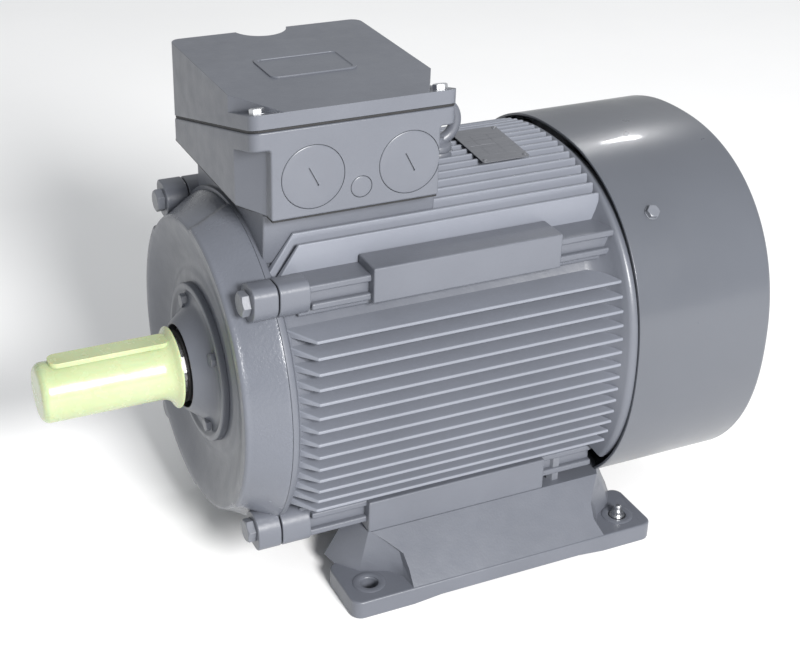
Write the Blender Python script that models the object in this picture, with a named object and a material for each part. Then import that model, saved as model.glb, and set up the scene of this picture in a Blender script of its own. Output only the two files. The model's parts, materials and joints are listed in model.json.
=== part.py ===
"""Foot-mounted squirrel-cage induction motor, IEC frame size 225M, terminal box on top.

Lengths in the constants are millimetres.  X runs along the shaft, measured here from the shaft
shoulder at the drive end (x < 0 is the shaft extension); Z is up from the foot plane and Y = 0 is
the vertical plane through the shaft.  The row frame has its origin under the middle of the whole
motor, so everything hangs from two empties that carry X_SHIFT.
"""
import math

import bmesh
import bpy
from mathutils import Matrix, Vector

MM = 0.001

# ---- IEC 225M foot-motor sizes -------------------------------------------------------------
SHAFT_H = 225.0          # H: shaft height over the feet
FOOT_HOLE_Y = 178.0      # A / 2
FOOT_HOLE_X = (149.0, 460.0)   # C and C + B
SHAFT_R = 30.0           # D / 2
SHAFT_END = -140.0       # E
KEY_W, KEY_TOP = 18.0, 34.0
FOOT_HOLE_R = 9.5        # K / 2

# ---- overall stations along X --------------------------------------------------------------
SLEEVE_END = -144.5
COWL_BACK = 617.0
X_SHIFT = -(SLEEVE_END + COWL_BACK) / 2.0
GAP = 0.3                # clearance between fitted pieces

# ---- housing -------------------------------------------------------------------------------
JOINT_X = 62.0           # joint between drive-end shield and housing
REAR_X = 432.0           # joint between housing and rear shield
BORE_R = 165.0
BARREL_R = 178.0
FLANGE_R = 183.0
FIN_SIDE, FIN_TOP = 192.0, 202.0   # tips of the side and top fins, from the axis
SQUARE = 2.25            # exponent of the slightly squared outline of fins and cowl
SIDE_FINS, SIDE_PITCH = 14, 15.0
TOP_FINS, TOP_PITCH = 19, 12.6
LOW_FINS, LOW_PITCH = 9, 25.2
FIN_ROOT_T, FIN_TIP_T = 5.6, 3.6
PAD_IN, PAD_OUT = 119.0, 156.0   # the four square corner pads, from the axis
PAD_X_UP = (158.0, 370.0)
PAD_X_LOW = (158.0, 442.0)
LUG_C, LUG_R = 131.9, 17.0       # drive-end shield bolts, on both axes

# ---- terminal box --------------------------------------------------------------------------
BOX_X = (47.0, 260.0)
BOX_Y = (-123.0, 117.0)
BOX_Z = 432.3
LID_TOP = 540.0
SPLIT_Z, SPLIT_TAN = 524.2, 0.28   # sloped joint: height at the near wall, fall per mm of Y
BOX_WALL = 6.0
POCKET_X = 148.0         # pocket for the far lid screw

# ---- fan cowl ------------------------------------------------------------------------------
COWL_R, COWL_FLAT = 206.0, 163.0   # half width, and the flat bottom below the axis
COWL_X0 = 445.0

# ---- bearings (6213 both ends) ---------------------------------------------------------------
BRG_IN, BRG_OUT, BRG_W = 32.5, 60.0, 23.0
BRG_X = (45.0, 425.0)

SEG_BIG, SEG_MID, SEG_HIDDEN, SEG_SMALL, SEG_HOLE = 48, 32, 24, 14, 8


# ---- scene, materials and helpers ------------------------------------------------------------
for old in list(bpy.data.objects):
    bpy.data.objects.remove(old, do_unlink=True)

scene_col = bpy.context.scene.collection


def material(name, rgb, rough, metal=0.0):
    mat = bpy.data.materials.new(name)
    mat.use_nodes = True
    shader = mat.node_tree.nodes["Principled BSDF"]
    shader.inputs["Base Color"].default_value = (*rgb, 1.0)
    shader.inputs["Roughness"].default_value = rough
    shader.inputs["Metallic"].default_value = metal
    return mat


PAINT = material("paint_blue_grey", (0.27, 0.29, 0.34), 0.42)
PAINT_DARK = material("paint_bolt_grey", (0.22, 0.24, 0.28), 0.40)
STEEL = material("machined_steel", (0.55, 0.55, 0.56), 0.32, 1.0)
LAMINATION = material("core_sheet_steel", (0.30, 0.31, 0.33), 0.50, 0.9)
COPPER = material("varnished_winding", (0.42, 0.16, 0.06), 0.45, 0.3)
RUBBER = material("black_rubber", (0.02, 0.02, 0.02), 0.75)
SLEEVE_PE = material("pale_yellow_green_plastic", (0.80, 0.83, 0.42), 0.45)
PLUG_GREY = material("grey_plastic", (0.28, 0.30, 0.35), 0.5)
FAN_BLACK = material("fan_plastic", (0.03, 0.03, 0.03), 0.55)
MOULDED = material("moulded_board", (0.10, 0.05, 0.03), 0.5)
BRASS_Y = material("brass_cage", (0.62, 0.45, 0.16), 0.35, 1.0)
PLATE = material("stainless_plate", (0.60, 0.60, 0.60), 0.28, 1.0)
ZINC = material("zinc_plated", (0.66, 0.66, 0.66), 0.30, 1.0)


def empty(name, loc, parent=None):
    ob = bpy.data.objects.new(name, None)
    ob.location = Vector(loc) * MM
    ob.parent = parent
    scene_col.objects.link(ob)
    return ob


MOTOR = empty("motor_origin", (X_SHIFT, 0, 0))
AXIS = empty("shaft_axis", (0, 0, SHAFT_H), MOTOR)
ROTOR = empty("rotor_axis", (0, 0, SHAFT_H), MOTOR)
SLEEVE = empty("sleeve_axis", (0, 0, SHAFT_H), MOTOR)


def add(name, bm, mat=None, parent=MOTOR, loc=(0, 0, 0), rot=(0, 0, 0), smooth=30.0):
    """Link a bmesh drawn in millimetres as an object, with its faces turned outward."""
    bmesh.ops.remove_doubles(bm, verts=bm.verts, dist=1e-4)
    bmesh.ops.recalc_face_normals(bm, faces=bm.faces)
    if bm.calc_volume(signed=True) < 0:
        bmesh.ops.reverse_faces(bm, faces=bm.faces)
    bmesh.ops.scale(bm, vec=(MM, MM, MM), verts=bm.verts)
    mesh = bpy.data.meshes.new(name)
    bm.to_mesh(mesh)
    bm.free()
    if smooth:
        mesh.shade_smooth()
        mesh.set_sharp_from_angle(angle=math.radians(smooth))
    ob = bpy.data.objects.new(name, mesh)
    if mat:
        mesh.materials.append(mat)
    ob.parent = parent
    ob.location = Vector(loc) * MM
    ob.rotation_euler = rot
    scene_col.objects.link(ob)
    return ob


def copy_of(ob, name, parent, loc, rot=(0, 0, 0)):
    twin = bpy.data.objects.new(name, ob.data)
    twin.parent = parent
    twin.location = Vector(loc) * MM
    twin.rotation_euler = rot
    scene_col.objects.link(twin)
    return twin


def guide(ob):
    ob.hide_render = True
    ob.display_type = "WIRE"
    return ob


def boolean(target, other, operation):
    mod = target.modifiers.new(operation.lower(), "BOOLEAN")
    mod.operation = operation
    mod.solver = "EXACT"
    mod.object = guide(other)


def cut(target, *others):
    for other in others:
        boolean(target, other, "DIFFERENCE")


def join(target, *others):
    for other in others:
        boolean(target, other, "UNION")


def lathe(profile, seg, closed=True, phase=0.0):
    """Spin (x, r) points about the X axis; an open profile starts and ends on the axis."""
    bm = bmesh.new()
    turn = Matrix.Rotation(phase, 3, "X")
    verts = [bm.verts.new(turn @ Vector((x, 0, r))) for x, r in profile]
    edges = [bm.edges.new(pair) for pair in zip(verts, verts[1:])]
    if closed:
        edges.append(bm.edges.new((verts[-1], verts[0])))
    bmesh.ops.spin(bm, geom=verts + edges, cent=(0, 0, 0), axis=(1, 0, 0), dvec=(0, 0, 0),
                   angle=math.tau, steps=seg, use_merge=True, use_duplicate=False)
    bmesh.ops.remove_doubles(bm, verts=bm.verts, dist=1e-4)
    bmesh.ops.dissolve_degenerate(bm, dist=1e-5, edges=bm.edges)
    return bm


def extrude(points, vec):
    """Extrude a flat outline of 3-D points along a vector."""
    bm = bmesh.new()
    base = bm.faces.new([bm.verts.new(p) for p in points])
    top = bmesh.ops.extrude_face_region(bm, geom=[base])["geom"]
    moved = [g for g in top if isinstance(g, bmesh.types.BMVert)]
    bmesh.ops.translate(bm, vec=vec, verts=moved)
    return bm


def prism_x(outline_yz, x0, x1):
    return extrude([(x0, y, z) for y, z in outline_yz], (x1 - x0, 0, 0))


def prism_y(outline_xz, y0, y1):
    return extrude([(x, y0, z) for x, z in outline_xz], (0, y1 - y0, 0))


def prism_z(outline_xy, bottom, top):
    """Vertical prism; bottom and top are heights or planes given as functions of y."""
    bm = extrude([(x, y, 0.0) for x, y in outline_xy], (0, 0, 1.0))
    for v in bm.verts:
        limit = top if v.co.z > 0.5 else bottom
        v.co.z = limit(v.co.y) if callable(limit) else limit
    return bm


def block(x0, x1, y0, y1, z0, z1):
    return prism_z([(x0, y0), (x1, y0), (x1, y1), (x0, y1)], z0, z1)


def circle(cx, cy, r, seg, start=0.0):
    return [(cx + r * math.cos(start + math.tau * i / seg), cy + r * math.sin(start + math.tau * i / seg))
            for i in range(seg)]


def round_rect(x0, x1, y0, y1, r, seg=4):
    pts = []
    for cx, cy, a in ((x1 - r, y1 - r, 0), (x0 + r, y1 - r, 90), (x0 + r, y0 + r, 180), (x1 - r, y0 + r, 270)):
        for i in range(seg + 1):
            t = math.radians(a + 90.0 * i / seg)
            pts.append((cx + r * math.cos(t), cy + r * math.sin(t)))
    return pts


def bar_x(x0, x1, y, z, r, seg=SEG_SMALL):
    return prism_x(circle(y, z, r, seg, 0.2), x0, x1)


def bar_z(z0, z1, x, y, r, seg=SEG_SMALL):
    return prism_z(circle(x, y, r, seg), z0, z1)


def merge(*parts):
    """Put several bmesh pieces in one; used for cutters whose pieces don't touch."""
    out = bmesh.new()
    for bm in parts:
        mesh = bpy.data.meshes.new("piece")
        bm.to_mesh(mesh)
        bm.free()
        out.from_mesh(mesh)
        bpy.data.meshes.remove(mesh)
    return out


def hex_bolt(af, head, shank_r, shank, collar=0.0, seg=6):
    """Hex-head screw along +Z: underside of the head at z = 0, shank below it."""
    corner = af / math.sqrt(3.0)
    bm = bmesh.new()
    rings = []
    for z, r, n in ((-shank, shank_r, seg), (0.0, shank_r, seg)):
        rings.append([bm.verts.new((x, y, z)) for x, y in circle(0, 0, r, n)])
    levels = []
    if collar:
        levels += [(0.0, af * 0.52, seg), (collar, af * 0.52, seg)]
    for z, r, n in levels:
        rings.append([bm.verts.new((x, y, z)) for x, y in circle(0, 0, r, n)])
    hexes = [[bm.verts.new((x, y, z)) for x, y in circle(0, 0, r, 6)]
             for z, r in ((collar, corner), (collar + head * 0.88, corner), (collar + head, corner * 0.86))]
    for low, high in zip(rings, rings[1:]):
        for i in range(len(low)):
            j = (i + 1) % len(low)
            bm.faces.new((low[i], low[j], high[j], high[i]))
    bm.faces.new(list(reversed(rings[0])))
    bridge = [bm.edges.get((rings[-1][i], rings[-1][(i + 1) % seg])) for i in range(seg)]
    lower = [bm.edges.new((hexes[0][i], hexes[0][(i + 1) % 6])) for i in range(6)]
    for low, high in zip(hexes, hexes[1:]):
        for i in range(6):
            j = (i + 1) % 6
            bm.faces.new((low[i], low[j], high[j], high[i]))
    bmesh.ops.bridge_loops(bm, edges=bridge + lower)
    bm.faces.new(hexes[-1])
    return bm


def split_z(offset=0.0):
    """Height of the sloped box joint at y, moved up by offset."""
    return lambda y: SPLIT_Z + offset - SPLIT_TAN * (y - BOX_Y[0])


def squared(angle):
    """How far the squared outline stands outside the circle at an angle around the shaft."""
    return (abs(math.cos(angle)) ** SQUARE + abs(math.sin(angle)) ** SQUARE) ** (-1.0 / SQUARE)


def square_up(bm):
    """Turn a lathed shape's circles about X into the squared outline."""
    for v in bm.verts:
        k = squared(math.atan2(v.co.z, v.co.y))
        v.co.y *= k
        v.co.z *= k
    return bm


# ---- housing: barrel, fins, pads, lugs -------------------------------------------------------
def fin(direction, offset, x0, x1, lead, tail):
    """One cooling fin with a drafted section: direction is 'y+', 'y-', 'z+' or 'z-'."""
    root = 172.0
    root = math.sqrt(max(root * root - offset * offset, 0.0)) - 3.0
    reach = FIN_TOP if direction == "z+" else FIN_SIDE
    tip = reach * (1.0 - (abs(offset) / 200.0) ** SQUARE) ** (1.0 / SQUARE)
    bm = bmesh.new()
    rows = []
    for height, half, xa, xb in ((root, FIN_ROOT_T / 2, x0, x1), (tip, FIN_TIP_T / 2, x0 + lead, x1 - tail)):
        corners = []
        for x, s in ((xa, -1), (xb, -1), (xb, 1), (xa, 1)):
            side, across = (height, offset + s * half)
            if direction[0] == "y":
                co = (x, side if direction[1] == "+" else -side, across)
            else:
                co = (x, across, side if direction[1] == "+" else -side)
            corners.append(bm.verts.new(co))
        rows.append(corners)
    bm.faces.new(rows[0])
    bm.faces.new(list(reversed(rows[1])))
    for i in range(4):
        j = (i + 1) % 4
        bm.faces.new((rows[0][i], rows[0][j], rows[1][j], rows[1][i]))
    bmesh.ops.recalc_face_normals(bm, faces=bm.faces)
    return bm


def corner_bars(x0, x1, yz_pairs, r, seg=SEG_SMALL):
    return merge(*[bar_x(x0, x1, y, z, r, seg) for y, z in yz_pairs])


CORNERS = [(sy * LUG_C, sz * LUG_C) for sy in (-1, 1) for sz in (1, -1)]

housing = add("stator_housing", lathe([(JOINT_X, BORE_R), (JOINT_X, FLANGE_R), (76, FLANGE_R),
                                       (79, BARREL_R), (420, BARREL_R), (423, FLANGE_R - 1),
                                       (REAR_X + 2, FLANGE_R - 1), (REAR_X + 2, BORE_R)], SEG_BIG), PAINT, AXIS)
fins = []
for k in range(SIDE_FINS):
    z = (k - (SIDE_FINS - 1) / 2) * SIDE_PITCH
    for side in ("y-", "y+"):
        fins.append(fin(side, z, 66, 442, 15 + 9 * abs(z) / 97.5, 4))
for side, count, pitch in (("z+", TOP_FINS, TOP_PITCH), ("z-", LOW_FINS, LOW_PITCH)):
    for k in range(count):
        y = (k - (count - 1) / 2) * pitch
        fins.append(fin(side, y, 64, 440, 26 + 8 * abs(y) / 113, 4))
join(housing, add("guide_fins", merge(*fins), parent=AXIS))

pads = []
for sy in (-1, 1):
    for sz, (xa, xb) in ((1, PAD_X_UP), (-1, PAD_X_LOW)):
        ya, yb = sorted((sy * (PAD_IN - 1), sy * PAD_OUT))
        za, zb = sorted((sz * (PAD_IN - 1), sz * PAD_OUT))
        pads.append(block(xa, xb, ya, yb, za, zb))
join(housing, add("guide_pads", merge(*pads), parent=AXIS))

# square rib behind each drive-end lug, running back into its pad
ribs = []
for y, z in CORNERS:
    ya, yb = sorted((math.copysign(117.4, y), math.copysign(146, y)))
    za, zb = sorted((math.copysign(117.4, z), math.copysign(146, z)))
    ribs.append(block(88, PAD_X_UP[0] + 4, ya, yb, za, zb))
    if z > 0:
        ribs.append(block(PAD_X_UP[1] - 4, 437, ya, yb, za, zb))
join(housing, add("guide_ribs", merge(*ribs), parent=AXIS))
join(housing, add("guide_lugs", corner_bars(JOINT_X + 0.5, 94, CORNERS, LUG_R), parent=AXIS))

# ring that ties the fins together in front of the cowl; it leaves the feet free
RING_R = 196.0
turns = [math.radians(-38 + 256 * i / 44) for i in range(45)]
ring_outline = [(RING_R * squared(a) * math.cos(a), (RING_R + 2.5) * squared(a) * math.sin(a)) for a in turns]
ring_outline += [(174.5 * math.cos(a), 174.5 * math.sin(a)) for a in reversed(turns[::2])]
join(housing, add("guide_rear_ring", prism_x(ring_outline, 428.5, 441), parent=AXIS))

REAR_BOLTS = [(sy * 150.3, sz * 86.8) for sy in (-1, 1) for sz in (1, -1)]

# pedestal under the terminal box and boss under the lifting eye
join(housing, add("guide_pedestal", prism_x([(-96, 150), (96, 150), (100, 205), (-100, 205)], 66, 250),
                  parent=AXIS))
join(housing, add("guide_eye_boss", bar_z(166, 202.6, 300, 0, 19), parent=AXIS))

cut(housing, add("guide_bore", lathe([(40, 0), (40, BORE_R), (REAR_X, BORE_R), (REAR_X, FLANGE_R + 0.4),
                                        (460, FLANGE_R + 0.4), (460, 0)], SEG_BIG, False), parent=AXIS))
cut(housing, add("guide_lug_holes", corner_bars(40, 92, CORNERS, 8.4, SEG_HOLE), parent=AXIS))
cut(housing, add("guide_rear_holes", corner_bars(408, 450, REAR_BOLTS, 4.4, SEG_HOLE), parent=AXIS))
cut(housing, add("guide_box_duct", bar_z(120, 230, 153, 0, 34), parent=AXIS))
cut(housing, add("guide_eye_hole", bar_z(176, 230, 300, 0, 8.4, SEG_HOLE), parent=AXIS))
foot_bolt_places = [(x, sy * 140.0) for sy in (-1, 1) for x in (222.0, 392.0)]
cut(housing, add("guide_foot_bolt_holes",
                 merge(*[bar_z(-180, -PAD_OUT + 34, x, y, 8.4, SEG_HOLE) for x, y in foot_bolt_places]), parent=AXIS))

# ---- stator pack and windings ----------------------------------------------------------------
add("stator_core", lathe([(165, 100), (165, BORE_R - 0.5), (365, BORE_R - 0.5), (365, 100)], SEG_BIG),
    LAMINATION, AXIS)
for name, x0, x1, seg in (("winding_de", 120.0, 164.6, SEG_HIDDEN), ("winding_nde", 365.4, 410.0, SEG_HIDDEN)):
    near, far = (x1, x0) if name == "winding_de" else (x0, x1)
    out = 8 if far > near else -8
    add(name, lathe([(far, 120), (far, 146), (far - out, 155), (near, 157), (near, 109), (far - out, 112)], seg),
        COPPER, AXIS)

# ---- drive-end shield ------------------------------------------------------------------------
HUB_FACE = 31.6
CAP_SCREW_R = 67.0
CAP_ANGLES = [math.radians(60 + 90 * i) for i in range(4)]
shield = add("drive_endshield", lathe(
    [(23.6, 154), (23.6, 160.5), (26.5, 164), (58, 182.5), (JOINT_X - GAP, 183),
     (JOINT_X - GAP, 164.3), (71, 164.3), (71, 152), (48, 144), (50, 96), (72, 90), (72, 60.5),
     (HUB_FACE, 60.5), (HUB_FACE, 98), (36, 106), (35, 140)], SEG_BIG), PAINT, AXIS)
join(shield, add("guide_shield_lugs", corner_bars(36, JOINT_X - 1.5, CORNERS, LUG_R), parent=AXIS))
cut(shield, add("guide_shield_holes", corner_bars(20, 80, CORNERS, 8.4, SEG_HOLE), parent=AXIS))
cap_yz = [(CAP_SCREW_R * math.cos(a), CAP_SCREW_R * math.sin(a)) for a in CAP_ANGLES]
cut(shield, add("guide_cap_holes", corner_bars(20, 90, cap_yz, 4.4, SEG_HOLE), parent=AXIS))

bolt_mesh = None
for i, (y, z) in enumerate(CORNERS):
    name = "endshield_bolt_de_%d" % (i + 1)
    rot = (0, -math.pi / 2, 0)
    place = (36 - GAP, y, z)
    if bolt_mesh is None:
        bolt_mesh = add(name, hex_bolt(24, 10, 7.6, 50), PAINT_DARK, AXIS, place, rot)
    else:
        copy_of(bolt_mesh, name, AXIS, place, rot)

# ---- bearing caps and bearings ---------------------------------------------------------------
cap = add("bearing_cap_de", lathe(
    [(20, 34), (20, 47), (28, 51), (28, 75), (23, 79), (23, 84), (24.5, 85.5), (HUB_FACE - GAP, 85.5),
     (HUB_FACE - GAP, 60), (BRG_X[0] - GAP, 60), (BRG_X[0] - GAP, 50), (38, 34)], SEG_MID), PAINT, AXIS)
cut(cap, add("guide_cap_screw_holes", corner_bars(15, 60, cap_yz, 4.4, SEG_HOLE), parent=AXIS))
screw = None
for i, (y, z) in enumerate(cap_yz):
    name, place, rot = "cap_screw_de_%d" % (i + 1), (28 - GAP, y, z), (CAP_ANGLES[i], -math.pi / 2, 0)
    if screw is None:
        screw = add(name, hex_bolt(13, 5.5, 3.9, 52), PAINT_DARK, AXIS, place, (0, -math.pi / 2, 0))
    else:
        copy_of(screw, name, AXIS, place, (0, -math.pi / 2, 0))

inner_cap = add("bearing_cap_de_inner", lathe(
    [(72.4, 52), (72.4, 80), (86, 80), (90, 74), (90, 44), (80, 44), (80, 52)], SEG_HIDDEN), PAINT, AXIS)
cut(inner_cap, add("guide_inner_cap_holes", corner_bars(70, 84, cap_yz, 4.4, SEG_HOLE), parent=AXIS))
add("bearing_cap_nde_inner", lathe(
    [(401, 44), (401, 74), (405, 80), (423.6, 80), (423.6, 52), (411, 52), (411, 44)], SEG_HIDDEN), PAINT, AXIS)

for end, x0 in zip(("de", "nde"), BRG_X):
    x1 = x0 + BRG_W
    mid = (x0 + x1) / 2
    add("bearing_outer_ring_" + end, lathe(
        [(x0, 53), (x0, BRG_OUT), (x1, BRG_OUT), (x1, 53), (mid + 4, 55.5), (mid - 4, 55.5)], SEG_HIDDEN),
        STEEL, AXIS)
    add("bearing_inner_ring_" + end, lathe(
        [(x0, BRG_IN + GAP), (x1, BRG_IN + GAP), (x1, 39), (mid + 4, 37), (mid - 4, 37), (x0, 39)], SEG_HIDDEN),
        STEEL, ROTOR)
    cage = add("ball_cage_" + end, lathe([(x0 + 4, 43.5), (x0 + 4, 48.5), (x1 - 4, 48.5), (x1 - 4, 43.5)], 16),
               BRASS_Y, empty("cage_axis_" + end, (0, 0, SHAFT_H), MOTOR))
    balls = []
    for i in range(7):
        bm = bmesh.new()
        bmesh.ops.create_icosphere(bm, subdivisions=1, radius=8.0)
        a = math.tau * i / 7
        bmesh.ops.translate(bm, vec=(mid, 46.0 * math.cos(a), 46.0 * math.sin(a)), verts=bm.verts)
        balls.append(bm)
    join(cage, add("guide_balls_" + end, merge(*balls), parent=AXIS))
add("wave_spring_nde", lathe([(449, 52), (449, 59), (451, 59), (451, 52)], SEG_HIDDEN), STEEL, AXIS)

# ---- rear shield, its bolts and the cowl arms -------------------------------------------------
rear = add("rear_endshield", lathe(
    [(REAR_X + GAP, FLANGE_R - 1), (452, FLANGE_R - 1), (456, 178), (456, 98), (463, 90), (463, 31.5), (452, 31.5),
     (452, 60.5), (424, 60.5), (424, 86), (441, 94), (441, 164.3), (REAR_X + GAP, 164.3)], 32), PAINT, AXIS)
COWL_UP_A = math.radians(47)
COWL_UP_R = COWL_R * squared(COWL_UP_A)
arm_outline = [(446, 150), (497, 150), (497, COWL_UP_R - 4.6), (472, COWL_UP_R - 4.6), (472, 176), (446, 166)]
arms = []
for sy in (-1, 1):
    arm = prism_y(arm_outline, -11, 11)
    turn = Matrix.Rotation(sy * (math.pi / 2 - COWL_UP_A), 3, "X")
    bmesh.ops.rotate(arm, cent=(0, 0, 0), matrix=turn, verts=arm.verts)
    arms.append(arm)
    low = [(446, -128), (497, -128), (497, -159.6), (472, -159.6), (472, -150), (446, -140)]
    ya, yb = sorted((sy * 96, sy * 126))
    arms.append(prism_y(low, ya, yb))
join(rear, add("guide_cowl_arms", merge(*arms), parent=AXIS))
COWL_LOW_Y = 116.0
cowl_screws = [("up", -1), ("up", 1), ("low", -1), ("low", 1)]
COWL_SCREW_X = 483.0


def cowl_axis(kind, sy):
    """Outer end of the screw's axis on the cowl, and the screw's rotation."""
    if kind == "up":
        a = COWL_UP_A if sy > 0 else math.pi - COWL_UP_A
        return (COWL_UP_R * math.cos(a), COWL_UP_R * math.sin(a)), (a - math.pi / 2, 0, 0)
    return (sy * COWL_LOW_Y, -COWL_FLAT), (math.pi, 0, 0)


def cowl_screw_cutter(r, depth, out):
    parts = []
    for kind, sy in cowl_screws:
        (y, z), rot = cowl_axis(kind, sy)
        bm = bar_z(-depth, out, 0, 0, r, SEG_HOLE)
        bmesh.ops.rotate(bm, cent=(0, 0, 0), matrix=Matrix.Rotation(rot[0], 3, "X"), verts=bm.verts)
        bmesh.ops.translate(bm, vec=(COWL_SCREW_X, y, z), verts=bm.verts)
        parts.append(bm)
    return merge(*parts)


cut(rear, add("guide_rear_flat", block(443.6, 500, -260, 260, -260, -COWL_FLAT + 3.4), parent=AXIS))
cut(rear, add("guide_rear_shield_holes", corner_bars(420, 470, REAR_BOLTS, 4.4, SEG_HOLE), parent=AXIS))
cut(rear, add("guide_cowl_arm_holes", cowl_screw_cutter(4.3, 24, 8), parent=AXIS))
rear_bolt = None
for i, (y, z) in enumerate(REAR_BOLTS):
    name, place, rot = "endshield_bolt_nde_%d" % (i + 1), (452 + GAP, y, z), (0, math.pi / 2, 0)
    if rear_bolt is None:
        rear_bolt = add(name, hex_bolt(13, 5.5, 3.9, 40), PAINT_DARK, AXIS, place, rot)
    else:
        copy_of(rear_bolt, name, AXIS, place, rot)
cut(rear, add("guide_bolt_seats", corner_bars(452, 470, REAR_BOLTS, 9.5, 12), parent=AXIS))

# ---- fan cowl ----------------------------------------------------------------------------------
COWL_T = 3.0
cowl = add("fan_cowl", square_up(lathe(
    [(COWL_X0, COWL_R - COWL_T), (COWL_X0, COWL_R), (610, COWL_R), (615, COWL_R - 2), (COWL_BACK, COWL_R - 7),
     (COWL_BACK, 24), (COWL_BACK - COWL_T, 24), (COWL_BACK - COWL_T, COWL_R - 8), (608, COWL_R - COWL_T)], 56)),
    PAINT, AXIS)
cut(cowl, add("guide_cowl_flat", block(400, 700, -260, 260, -400, -COWL_FLAT), parent=AXIS))
join(cowl, add("guide_cowl_floor", prism_z([(COWL_X0, -136.0), (COWL_BACK - 1.2, -136.0), (COWL_BACK - 1.2, 136.0),
                                            (COWL_X0, 136.0)], -COWL_FLAT, -COWL_FLAT + COWL_T), parent=AXIS))
slots = []
for ring_r, count in ((64, 8), (112, 12)):
    for i in range(count):
        bm = prism_x([(-6.5, -17), (6.5, -17), (6.5, 17), (-6.5, 17)], 600, 630)
        bmesh.ops.translate(bm, vec=(0, 0, ring_r), verts=bm.verts)
        bmesh.ops.rotate(bm, cent=(0, 0, 0), matrix=Matrix.Rotation(math.tau * (i + 0.5) / count, 3, "X"),
                         verts=bm.verts)
        slots.append(bm)
cut(cowl, add("guide_cowl_slots", merge(*slots), parent=AXIS))
cut(cowl, add("guide_cowl_holes", cowl_screw_cutter(4.6, 12, 12), parent=AXIS))
cowl_screw = None
for i, (kind, sy) in enumerate(cowl_screws):
    (y, z), rot = cowl_axis(kind, sy)
    out = Vector((0, y, z)).normalized() if kind == "up" else Vector((0, 0, -1))
    place = Vector((COWL_SCREW_X, y, z)) + out * GAP
    name = "cowl_screw_%d" % (i + 1)
    if cowl_screw is None:
        cowl_screw = add(name, hex_bolt(13, 5.5, 3.8, 20), PAINT_DARK, AXIS, place, rot)
    else:
        copy_of(cowl_screw, name, AXIS, place, rot)

# ---- feet ----------------------------------------------------------------------------------------
FOOT_X, FOOT_Y, FOOT_T = (120.0, 490.0), (135.0, 207.0), 22.0
BLOCK_TOP = SHAFT_H - PAD_OUT - GAP


def foot_object(name, side):
    y_in, y_out = FOOT_Y
    outline = round_rect(FOOT_X[0], FOOT_X[1], y_in, y_out, 12)
    foot = add(name, prism_z([(x, side * y) for x, y in outline], 0.0, FOOT_T), PAINT)
    section = [(side * 110, 10), (side * y_out, 10), (side * y_out, FOOT_T - 1), (side * (PAD_OUT - 1), 75 - 7),
               (side * (PAD_OUT - 1), BLOCK_TOP), (side * 110, BLOCK_TOP)]
    body = add("guide_block_" + name, prism_x(section, FOOT_X[0] + 8, FOOT_X[1] - 8))
    for sign, low, high in ((-1, 186.0, 160.0), (1, 426.0, 442.0)):
        # slanted end walls, square to the foot at the inner edge and swept back outward
        far = 40.0 if sign < 0 else 560.0
        pocket = bmesh.new()
        rows = []
        for z, shift in ((FOOT_T, 0.0), (BLOCK_TOP + 6, 1.0)):
            edge_in = (low + (high - low) * shift) - sign * 8 * (1 - shift)
            edge_out = low + (high - low) * shift * 0.6 + (-sign) * 0.0
            rows.append([pocket.verts.new((x, side * y, z)) for x, y in
                         ((far, 100), (far, 230), (edge_out, 230), (edge_in, 100))])
        for i in range(4):
            j = (i + 1) % 4
            pocket.faces.new((rows[0][i], rows[0][j], rows[1][j], rows[1][i]))
        pocket.faces.new(rows[0])
        pocket.faces.new(list(reversed(rows[1])))
        bmesh.ops.triangulate(pocket, faces=pocket.faces)
        cut(body, add("guide_pocket_%s_%d" % (name, sign), pocket))
    cut(body, add("guide_inner_" + name, block(100, 520, *sorted((side * 60, side * (y_in - 20))), -10, BLOCK_TOP - 24)))
    join(foot, body)
    cut(foot, add("guide_relief_" + name, block(200, 414, *sorted((side * 90, side * 230)), -5, 4)))
    cut(foot, add("guide_holes_" + name, merge(*[bar_z(-5, 40, x, side * FOOT_HOLE_Y, FOOT_HOLE_R, 16)
                                                 for x in FOOT_HOLE_X])))
    seats = merge(*[bar_z(-5, 46, x, y, 14.5, 12) for x, y in foot_bolt_places if y * side > 0])
    cut(foot, add("guide_bolt_seat_" + name, seats))
    shanks = merge(*[bar_z(40, 80, x, y, 8.4, SEG_HOLE) for x, y in foot_bolt_places if y * side > 0])
    cut(foot, add("guide_bolt_shank_" + name, shanks))
    return foot


foot_object("foot_left", -1)
foot_object("foot_right", 1)
foot_bolt = None
for i, (x, y) in enumerate(foot_bolt_places):
    name, place, rot = "foot_bolt_%d" % (i + 1), (x, y, 46 - GAP), (math.pi, 0, 0)
    if foot_bolt is None:
        foot_bolt = add(name, hex_bolt(24, 10, 7.6, 52), PAINT_DARK, MOTOR, place, (math.pi, 0, 0))
        foot_bolt.rotation_euler = (math.pi, 0, 0)
    else:
        copy_of(foot_bolt, name, MOTOR, place, rot)

earth = add("earth_screw", lathe([(9, 0), (9, 4.0), (16, 4.0), (16, 8.9), (23, 8.9), (23, 6.2), (29, 6.2), (29, 4.0),
                                  (34, 4.0), (35.5, 2.5), (35.5, 0)], 12, False), ZINC, MOTOR,
            (FOOT_HOLE_X[1], -FOOT_HOLE_Y, 0), (0, -math.pi / 2, 0))

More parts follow.
